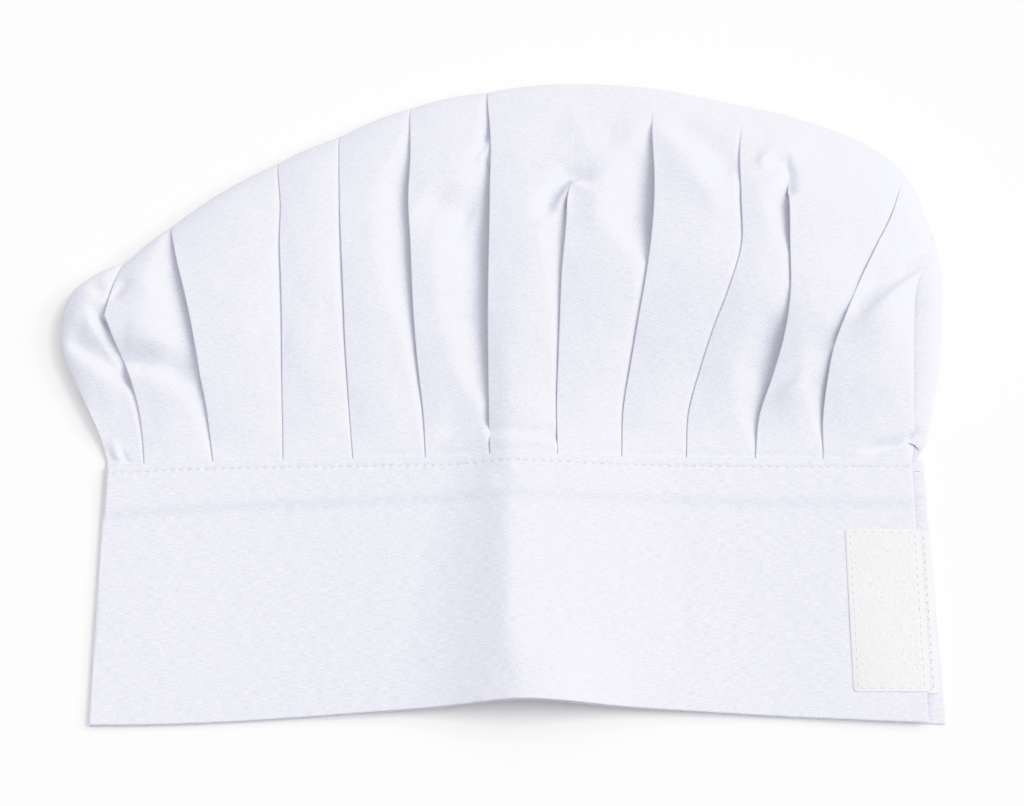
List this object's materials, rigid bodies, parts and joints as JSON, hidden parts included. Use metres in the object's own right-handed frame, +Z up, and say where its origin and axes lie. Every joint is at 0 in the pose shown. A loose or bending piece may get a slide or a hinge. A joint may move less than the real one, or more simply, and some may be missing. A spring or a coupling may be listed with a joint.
{
  "type": "chef_hat",
  "caption": "Chef hat in white cotton lying flat, its pleated crown gathered onto a wide folded headband that closes with a hook-and-loop patch",
  "frame": {"origin": "middle of the underside of the flat-laid hat, on the surface it rests on", "axes": "+X along the band towards the closure, +Y from the band's mouth to the crown's top, +Z up from the surface"},
  "size_m": [0.3336, 0.2628, 0.0253],
  "materials": {
    "cotton": "plain woven white cotton with a faint twill, matt",
    "loop_pile": "soft white loop pile with smooth selvages",
    "hook_tape": "white nylon hook tape, fine stiff bristles"
  },
  "bodies": {
    "root": {"crown": "cotton", "band": "cotton", "loop_patch": "loop_pile", "hook_patch": "hook_tape"}
  },
  "joints": []
}
